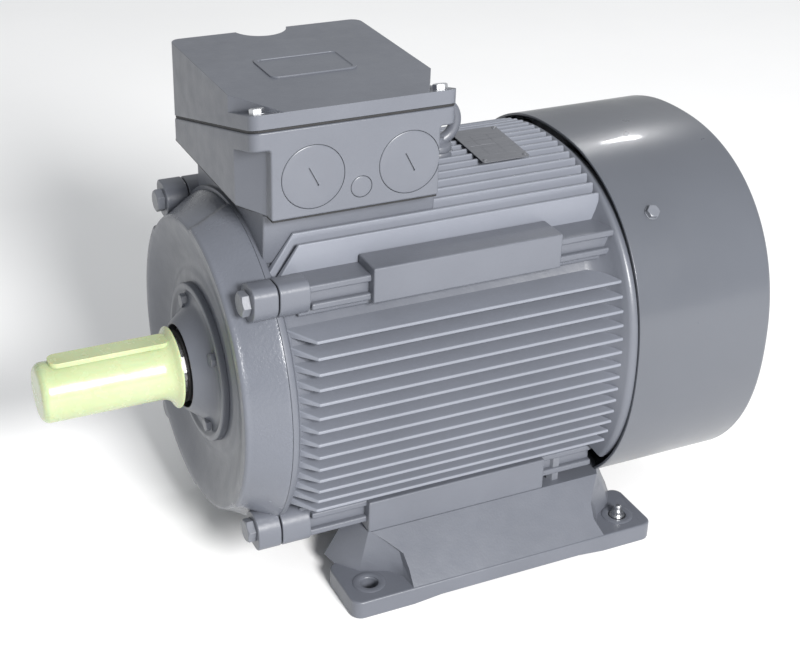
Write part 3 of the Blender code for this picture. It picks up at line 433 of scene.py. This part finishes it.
# The valleys between the fins climb to the rear ring, which runs in under the cowl, open at the bottom.
RING_SIDE, RING_UP, RING_IN = 201.3, 199.0, 168.0
SWEEP = 27.5                                      # climb of the valleys
turns = [math.radians(-38 + 256 * i / 120) for i in range(121)]
ring_rows = []
for x, inset, lower in ((402, SWEEP, 0), (412, 26, 0), (420, 22.5, 0), (427, 17, 0), (432.5, 9.5, 0),
                        (436, 3, 0), (438, 0.6, 0), (441, 0, 0), (443, -0.7, 3), (COWL_X0 + 8, -0.7, 8)):
    outer = []
    for a in turns:
        k = 1 + (squared(a) - 1) * (1 - max(inset, 0) / SWEEP)
        outer.append((x, k * (RING_SIDE - inset) * math.cos(a), k * (RING_UP - inset - lower) * math.sin(a)))
    ring_rows.append(outer + [(x, RING_IN * math.cos(a), RING_IN * math.sin(a)) for a in reversed(turns)])
piece("housing_ring", rows_mesh(ring_rows), on_axis=True, smooth=50)

pads = []
for sy in (-1, 1):
    for sz, xa, xb in ((1, 158.0, 370.0), (-1, 158.0, 371.0)):
        ya, yb = sorted((sy * (PAD_IN - 1), sy * PAD_OUT))
        za, zb = sorted((sz * (PAD_IN - 1), sz * PAD_OUT))
        pads.append(block(xa, xb, ya, yb, za, zb))
piece("housing_pads", merge(pads), on_axis=True, bevel=2.0, steps=3)

ribs = []
for y, z in CORNERS:
    sy, sz = math.copysign(1, y), math.copysign(1, z)
    for y_out, (za, zb), xa in ((143, (112, 144), 84), (149, (139, 146.5), 84), (149, (119, 126.5), 96)):
        y0, y1 = sorted((sy * 112, sy * y_out))
        z0, z1 = sorted((sz * za, sz * zb))
        ribs.append(block(xa, 164, y0, y1, z0, z1))
        ribs.append(block(366, 437, y0, y1, z0, z1))
piece("housing_ribs", merge(ribs), on_axis=True, bevel=2.2, steps=3)


def lug_outline(y, z, r=LUG_R + 2.5):
    """Rounded lug: a circle whose outer quarter is drawn out to a soft corner."""
    sy, sz = math.copysign(1, y), math.copysign(1, z)
    pts = arc(0, 0, r, 90, 360, 18) + arc(r * 0.45, r * 0.45, r * 0.55, 0, 90, 8)
    return [(y + sy * a, z + sz * b) for a, b in pts]


lugs = [prism_x(lug_outline(y, z), JOINT_X + 0.5, 94) for y, z in CORNERS]
piece("housing_lugs", merge(lugs), on_axis=True, bevel=1.5, steps=3)
pedestal = prism_x([(-96, 150), (96, 150), (100, 205), (-100, 205)], 66, 250)
piece("box_pedestal", pedestal, on_axis=True, bevel=2.5)
EYE_X = 300.0
boss = lathe([(166, 0), (166, 19), (199.5, 19), (202, 18), (202.6, 16.5), (202.6, 0)], 48, False)
piece("eye_boss", placed(boss, Matrix.Translation((EYE_X, 0, 0)) @ UPRIGHT), on_axis=True)

# ---- drive-end shield ----------------------------------------------------------------------------
rim = arc(25.0, 159.0, 4.6, 180, 96, 7)
profile = [(20.9, 151), (20.4, 154), *rim, (28.5, 164.8), (58, 182.2), (61.5, 183.0), (61.9, 182.6),
           (61.9, 164.3), (71, 164.3), (71, 152), (48, 144), (50, 96), (72, 90), (72, 60.5), (32.4, 60.5),
           (31.6, 61.3), (31.6, 95.5), (31.9, 98), (33.2, 101.5), (33.8, 105), (33.4, 110), (31.2, 120),
           (27.8, 131), (24.2, 141)]
shield = lathe(profile, 288)
LOW_STEP, STEP_TURN = 4.2, 1.6                    # depth of a ledge in the band, and the degrees it takes
UPPER_LEDGE, LOWER_LEDGE = 4.0, 131.0             # degrees from the top; the band is low outside them
BAND_R, FACE_R = 155.0, 157.0                     # the band lies outside the first, the smooth face inside
for v in shield.verts:
    r = math.hypot(v.co.y, v.co.z)
    turn = math.degrees(math.atan2(-v.co.y, v.co.z)) % 180.0
    if r > BAND_R and v.co.x < JOINT_X:
        past = turn - LOWER_LEDGE if turn > 90 else UPPER_LEDGE - turn
        t = min(max(past / STEP_TURN, 0.0), 1.0)
        k = 1.0 - LOW_STEP * t / r
        v.co.y *= k
        v.co.z *= k
shield_body = piece("shield_body", shield, finish=PAINT_ROUGH, on_axis=True, replaces=("drive_endshield",),
                    smooth=50)
shield_body.data.materials.append(PAINT)
for face in shield_body.data.polygons:
    radius = math.hypot(face.center.y, face.center.z - SHAFT_H * MM) / MM
    face.material_index = 1 if radius < FACE_R else 0
lugs = [prism_x(lug_outline(y, z), 36, JOINT_X - 0.8) for y, z in CORNERS]
piece("shield_lugs", merge(lugs), on_axis=True, bevel=1.5, steps=3)

for i, (y, z) in enumerate(CORNERS):
    head = placed(hex_head(22.5, 8.5, 0.0, 0.3 * i), aim((36, y, z), (-1, 0, 0)))
    piece("shield_bolt_%d" % (i + 1), head, "painted_fixing", on_axis=True,
          replaces=("endshield_bolt_de_%d" % (i + 1),), bevel=0.5)

cap = lathe([(6.6, 44.8), (6, 45.4), (6, 46.6), (7, 48), (22.5, 60.5), (25.4, 63.2), (26.6, 66), (27.2, 70),
             (27.2, 74), (26.6, 76.2), (24.4, 78.8), (24, 80), (24, 83.2), (24.8, 84.9), (26.2, 85.5),
             (31.3, 85.5), (31.3, 60), (44.7, 60), (44.7, 50), (38, 44.8)])
piece("bearing_cap", cap, on_axis=True, replaces=("bearing_cap_de",))
for i, a in enumerate(CAP_ANGLES):
    y, z = CAP_SCREW_R * math.cos(a), CAP_SCREW_R * math.sin(a)
    head = placed(hex_head(13, 5.5, 1.0, 0.4 * i), aim((27, y, z), (-1, 0, 0)))
    piece("cap_screw_%d" % (i + 1), head, "painted_fixing", on_axis=True,
          replaces=("cap_screw_de_%d" % (i + 1),), bevel=0.3)

# ---- terminal box --------------------------------------------------------------------------------
x0, x1, y0, y1 = BOX_X0, BOX_X1, BOX_Y0, BOX_Y1
PLUGS = ((108.0, 472.0, 32.0), (208.6, 472.0, 32.0), (157.8, 454.4, 10.7))    # x, height, radius
SEAM = 1.3                                        # half the gap between box and lid, where the seal shows
FLANGE_DROP, OVER = 20.0, 30.0                    # box flange under the joint; how far cutters reach past


def corner_tool(s, xe, near_x, depth, bottom, top):
    """Cutter for a near corner: straight into the near wall, then slanted out to the side wall."""
    outline = [(xe - s * 20, y0 - 20), (xe + s * near_x, y0 - 20),
               (xe + s * near_x, y0 + 13 * (near_x < 20)), (xe, y0 + depth), (xe - s * 20, y0 + depth)]
    return cutter(prism_z(outline, bottom, top))


ends = ((1, x0), (-1, x1))
tools = [corner_tool(s, xe, 18.8, 49, BOX_Z - 10, split_z(-FLANGE_DROP)) for s, xe in ends]
box_body = piece("box_body", prism_z(round_rect(x0, x1, y0, y1, 11), BOX_Z, split_z(-SEAM)), cutters=tools,
                 replaces=("terminal_box",))
round_edges(box_body, 2.2, 3)
recesses = [cutter(prism_y(circle(px, pz, pr + 0.6, 64), y0 - 5, y0 + 4)) for px, pz, pr in PLUGS]
cut_with(box_body, recesses)

for i, (px, pz, pr) in enumerate(PLUGS):
    rows = [[(px + (pr - inset) * math.cos(t), y, pz + (pr - inset) * math.sin(t))
             for t in (TAU * k / 64 for k in range(64))]
            for y, inset in ((y0 + 4, 0), (y0 + 0.1, 0), (y0 - 0.35, 0.5), (y0 - 0.5, 1.2),
                             (y0 - 0.5, pr * 0.3))]
    tools = []
    if pr > 20:
        slot_bm = prism_y(round_rect(-11, 11, -0.9, 0.9, 0.8, 3), y0 - 3, y0 + 1.6)
        turn = Matrix.Translation((px, 0, pz)) @ Matrix.Rotation(math.radians(62), 4, "Y")
        tools.append(cutter(placed(slot_bm, turn)))
    name = "cable_plug_small" if pr < 20 else "cable_plug_%d" % (i + 1)
    piece("blank_" + name, rows_mesh(rows), "grey_plastic", replaces=(name,), cutters=tools)

ledge = split_z(LEDGE)
tools = [corner_tool(s, xe, 33.0, 63, ledge, LID_TOP + OVER) for s, xe in ends]
tools.append(cutter(prism_z(circle(POCKET_X, y1 + 7, POCKET_R, 72), ledge, LID_TOP + OVER)))
lid = piece("lid_body", prism_z(round_rect(x0, x1, y0, y1, 11), split_z(SEAM), LID_TOP), cutters=tools,
            replaces=("terminal_box_lid",))
round_edges(lid, 2.4, 3)
badge = prism_z(round_rect(POCKET_X - 46, POCKET_X + 46, -34, 24, 8), LID_TOP - 2, LID_TOP + 1.6)
field = cutter(prism_z(round_rect(POCKET_X - 42, POCKET_X + 42, -30, 20, 5), LID_TOP + 0.4, LID_TOP + 9))
piece("lid_badge", badge, bevel=0.6, cutters=(field,))

SCREW_SINK = 1.1                                  # the heads stay as low as their CAD nodes
slope = math.atan(SPLIT_TAN)
up = Vector((0, math.sin(slope), math.cos(slope)))
for i, (sx, sy) in enumerate(((x0 + 12.5, y0 + 17.0), (x1 - 12.5, y0 + 17.0), (POCKET_X, y1 - 9.0))):
    seat = Vector((sx, sy, ledge(sy) - SCREW_SINK))
    piece("box_lid_screw_%d" % (i + 1), placed(hex_head(13, 5.2, 1.2, 0.2 + i), aim(seat, up)), "zinc",
          replaces=("lid_screw_%d" % (i + 1),), bevel=0.3)


# ---- fan cowl ------------------------------------------------------------------------------------
COWL_SEG = 192
SPOKE_EVERY, SPOKE_LAST = 24, 2                   # segments between the grille's spokes; a spoke's last one


def cowl_ring(x, inset):
    """Outline of the cowl at x, pulled in by inset: a squared circle with a flat bottom."""
    ring = []
    for i in range(COWL_SEG):
        a = TAU * i / COWL_SEG
        down = -math.cos(a)
        r = COWL_R * squared(a) - inset
        if down > 0.3:
            r = min(r, (COWL_FLAT - inset) / down)
        ring.append((x, r * math.sin(a), r * math.cos(a)))
    return ring


cowl = bmesh.new()
EDGE_R = 7.0
edge = [(COWL_X0, 0.0), (COWL_X0 + 70, 0.0)]
edge += arc(COWL_X1 - EDGE_R, EDGE_R, EDGE_R, -90, 0, 5)
rings = [[cowl.verts.new(p) for p in cowl_ring(x, inset)] for x, inset in edge]
radii = [148, 136, 126, 112, 102, 88, 78, 64, 54, 40, 26]       # slots and webs of the grille by turns
rings += [[cowl.verts.new((COWL_X1, y, z)) for z, y in circle(0, 0, r, COWL_SEG)] for r in radii]
for k, (low, high) in enumerate(zip(rings, rings[1:])):
    grille = k - len(edge)
    for i in range(COWL_SEG):
        if grille >= 0 and grille % 2 == 0 and i % SPOKE_EVERY > SPOKE_LAST:
            continue
        j = (i + 1) % COWL_SEG
        cowl.faces.new((low[i], low[j], high[j], high[i]))
cowl_piece = piece("cowl_shell", cowl, finish=PAINT_SHEET, on_axis=True, replaces=("fan_cowl",), smooth=50)
solid = cowl_piece.modifiers.new("sheet", "SOLIDIFY")
solid.thickness, solid.offset = COWL_T * MM, -1.0
round_edges(cowl_piece, 0.8, 2, 50)

COWL_SCREW_X = 483.0
up_a = math.radians(47)
up_r = COWL_R * squared(up_a)
screws = [(sy * up_r * math.cos(up_a), up_r * math.sin(up_a), None) for sy in (-1, 1)]
screws += [(sy * 116.0, -COWL_FLAT, (0, 0, -1)) for sy in (-1, 1)]
for i, (y, z, out) in enumerate(screws):
    head = placed(hex_head(13, 5.2, 1.2, 0.3), aim((COWL_SCREW_X, y, z), out or (0, y, z)))
    piece("cowl_fixing_%d" % (i + 1), head, "painted_fixing", on_axis=True,
          replaces=("cowl_screw_%d" % (i + 1),), bevel=0.3)

# ---- lifting eye and rating plate ---------------------------------------------------------
EYE_Z, EYE_R, WIRE_R = SHAFT_H + 232.0, 22.0, 6.5
ring_rows = []
for i in range(48):
    a = TAU * i / 48
    ring_rows.append([(EYE_X + r * math.cos(a), y, EYE_Z + r * math.sin(a))
                      for r, y in circle(EYE_R, 0, WIRE_R, 20)])
eye = bmesh.new()
rings = [[eye.verts.new(p) for p in row] for row in ring_rows]
for low, high in zip(rings, rings[1:] + rings[:1]):
    skin(eye, low, high)
collar = lathe([(202.9, 0), (202.9, 17), (207.5, 17), (209, 16), (211, 11), (213, 9), (216, 8.5), (216, 0)],
               40, False)
collar = placed(collar, Matrix.Translation((EYE_X, 0, SHAFT_H)) @ UPRIGHT)
piece("eye_bolt", merge([eye, collar]), replaces=("lifting_eye",), smooth=50)

TILT = Matrix.Rotation(math.radians(3.8), 4, "X")
plate = prism_z(round_rect(330, 386, -40, 40, 3, 4), FIN_TOP + 1.3, FIN_TOP + 2.3)
rules = [block(334, 382, y - 0.25, y + 0.25, FIN_TOP + 2.1, FIN_TOP + 2.5) for y in (-24, -12, 0, 12, 24)]
rules += [block(x - 0.25, x + 0.25, -24, 24, FIN_TOP + 2.1, FIN_TOP + 2.5) for x in (346, 366)]
studs = []
for x, y in ((334, -35), (334, 35), (382, -35), (382, 35)):
    stud = lathe([(0, 0), (0, 2.6), (0.5, 2.5), (1.1, 1.8), (1.4, 0.9), (1.45, 0.0)], 20, False)
    studs.append(placed(stud, Matrix.Translation((x, y, FIN_TOP + 2.2)) @ UPRIGHT))
piece("rating_plate", placed(merge([plate] + rules + studs), TILT), "plate_steel", on_axis=True,
      replaces=("nameplate",), bevel=0.2)

# ---- sleeve --------------------------------------------------------------------------------------
END, NOSE_R, R_OUT, R_IN = -144.5, 8.0, 31.8, 30.4
profile = [(END, 0), (END, 22), *arc(END + NOSE_R, R_OUT - NOSE_R, NOSE_R, 180, 90, 5)]
profile += [(-60, R_OUT), (-20, R_OUT), (-14, 32.6), (-9, 35), (-5.5, 39), (-3.6, 43.2), (-2.6, 44),
            (-1.4, 43.8), (-1.4, 42.6), (-4, 37), (-8, R_IN), (-141, R_IN), (-141, 0)]
sleeve = lathe(profile, 96, False)
ridge = prism_z(round_rect(-131, -4.2, -11.4, 11.4, 9, 6), 31, 36.4)
ridge_cut = cutter(block(-125, 3, -9.7, 9.7, 0, 34.9), on_axis=True)
piece("sleeve_tube", sleeve, "sleeve_plastic", on_axis=True, body="sleeve", replaces=("shaft_sleeve",),
      smooth=50)
piece("sleeve_ridge", ridge, "sleeve_plastic", on_axis=True, body="sleeve", bevel=1.6, steps=3,
      cutters=(ridge_cut,))

# ---- feet ------------------------------------------------------------------------------------------
PLATE_T, PLATE_IN, FOOT_OUT = 22.0, 131.0, 207.0
FOOT_X0, FOOT_X1 = (v.x - ORIGIN_X for v in node_box("foot_left"))
HOLE_X, HOLE_Y, HOLE_R = (149.0, 460.0), 178.0, 9.5
BLOCK_TOP = SHAFT_H - PAD_OUT - 0.3
SLOPE_OUT = (206.0, 155.0)                        # outer edge of the block at the plate and at its top

# The block narrows upwards round the scoops at its two foot holes.  Each row is a height, the (x, y)
# outline of the drive-end scoop from the inner edge outwards, the same at the fan end, and the two ends
# of the outer edge.
SCOOPS = (
    (PLATE_T - 1, ((125, 112), (129, 133), (147, 155), (176, 168), (187, 184)),
     ((481, 112), (477, 133), (462, 155), (441, 168), (429, 184)), (189.0, 426.0)),
    (36.0, ((134, 112), (137, 133), (151, 155), (177, 166), (188, 178)),
     ((474, 112), (471, 133), (457, 155), (437, 166), (424, 178)), (190.0, 420.0)),
    (48.0, ((141, 112), (144, 133), (154, 154), (175, 163), (187, 171)),
     ((468, 112), (465, 133), (452, 154), (435, 163), (426, 171)), (189.0, 423.0)),
    (59.0, ((148, 112), (150, 133), (157, 153), (168, 159), (174, 162)),
     ((463, 112), (460, 133), (447, 153), (438, 159), (434, 162)), (175.5, 433.0)),
    (BLOCK_TOP, ((154, 112), (155, 133), (159, 152.5), (160.5, 154), (161, 154.5)),
     ((458, 112), (455, 133), (444, 152.5), (443.5, 154), (443, 154.5)), (161.5, 442.5)),
)


def foot(name, side):
    outline = [(x, side * y) for x, y in round_rect(FOOT_X0, FOOT_X1, PLATE_IN, FOOT_OUT, 12)]
    holes = [cutter(prism_z(circle(x, side * HOLE_Y, HOLE_R, 40), -5, 40)) for x in HOLE_X]
    ya, yb = sorted((side * 100, side * 230))
    relief = [(190, -5), (190, 0), (222, 3.2), (394, 3.2), (426, 0), (426, -5)]
    holes.append(cutter(prism_y(relief, ya, yb)))
    piece(name + "_plate", prism_z(outline, 0.0, PLATE_T), cutters=holes, bevel=2.4, steps=3,
          replaces=(name,))
    rows = []
    for z, front, back, (xa, xb) in SCOOPS:
        t = max(z - PLATE_T, 0.0) / (BLOCK_TOP - PLATE_T)
        y_out = SLOPE_OUT[0] + (SLOPE_OUT[1] - SLOPE_OUT[0]) * t
        ring = [*front, (xa, y_out), (xb, y_out), *reversed(back)]
        rows.append([(x, side * y, z) for x, y in ring])
    piece(name + "_block", rows_mesh(rows), bevel=2.2, steps=3)
    for i, x in enumerate(HOLE_X):
        spot = lathe([(PLATE_T - 1, 10.2), (PLATE_T - 1, 17.5), (PLATE_T + 0.5, 17.5),
                      (PLATE_T + 0.9, 16.8), (PLATE_T + 0.9, 10.8), (PLATE_T + 0.5, 10.2)], 48)
        turn = Matrix.Translation((x, side * HOLE_Y, 0)) @ UPRIGHT
        piece("%s_spot_%d" % (name, i + 1), placed(spot, turn))


foot("foot_left", -1)
foot("foot_right", 1)

# ---- CAD nodes that keep their own mesh ------------------------------------------------------------
rear = frame["nodes"]["rear_endshield"]
rear.modifiers.new("weld", "WELD").merge_threshold = 1e-5
flat = rear.modifiers.new("flat", "DECIMATE")
flat.decimate_type, flat.angle_limit = "DISSOLVE", math.radians(1.5)
round_edges(rear, 1.0, 3)

# ---- stage, light and camera ------------------------------------------------------------------------
FLOOR_HALF, FLOOR_Z = 9.0, -0.0005                # metres
floor_bm = bmesh.new()
bmesh.ops.create_grid(floor_bm, x_segments=4, y_segments=4, size=FLOOR_HALF)
floor_mesh = bpy.data.meshes.new("floor")
floor_bm.to_mesh(floor_mesh)
floor_bm.free()
floor = bpy.data.objects.new("floor", floor_mesh)
floor.location.z = FLOOR_Z
bpy.context.scene.collection.objects.link(floor)
floor_mesh.materials.append(surface("studio_floor", (0.90, 0.90, 0.90), (0.93, 0.93, 0.93), (0.7, 0.8),
                                    mottle=2))


def area_light(name, place, target, size, power, colour=(1, 1, 1)):
    light = bpy.data.lights.new(name, "AREA")
    light.shape, light.size, light.energy, light.color = "DISK", size, power, colour
    ob = bpy.data.objects.new(name, light)
    ob.location = place
    ob.rotation_euler = (Vector(target) - Vector(place)).to_track_quat("-Z", "Y").to_euler()
    bpy.context.scene.collection.objects.link(ob)


area_light("key", (0.0, -4.2, 2.5), (0, 0, 0.25), 1.3, 400, (1.0, 0.99, 0.98))
area_light("streak", (1.73, 1.55, 2.05), (0.33, -0.04, 0.43), 0.14, 6)
world = bpy.data.worlds.new("studio")
world.use_nodes = True
background = world.node_tree.nodes["Background"]
background.inputs["Color"].default_value = (0.96, 0.98, 1.0, 1.0)
background.inputs["Strength"].default_value = 0.55
bpy.context.scene.world = world
bpy.context.scene.view_settings.view_transform = "Standard"

CAM_AT = Vector((-0.63665, -1.3431, 1.0277))
CAM_TO = Vector((0.02815, 0.0, 0.2195))
CAM_ROLL, CAM_LENS = math.radians(1.7842), 68.23
forward = (CAM_TO - CAM_AT).normalized()
level = forward.cross(Vector((0, 0, 1))).normalized()
above = level.cross(forward)
cam_x = math.cos(CAM_ROLL) * level + math.sin(CAM_ROLL) * above
cam_y = -math.sin(CAM_ROLL) * level + math.cos(CAM_ROLL) * above
camera_data = bpy.data.cameras.new("camera")
camera_data.lens, camera_data.sensor_width = CAM_LENS, 36.0
camera = bpy.data.objects.new("camera", camera_data)
camera.matrix_world = Matrix.Translation(CAM_AT) @ Matrix((cam_x, cam_y, -forward)).transposed().to_4x4()
bpy.context.scene.collection.objects.link(camera)
bpy.context.scene.camera = camera
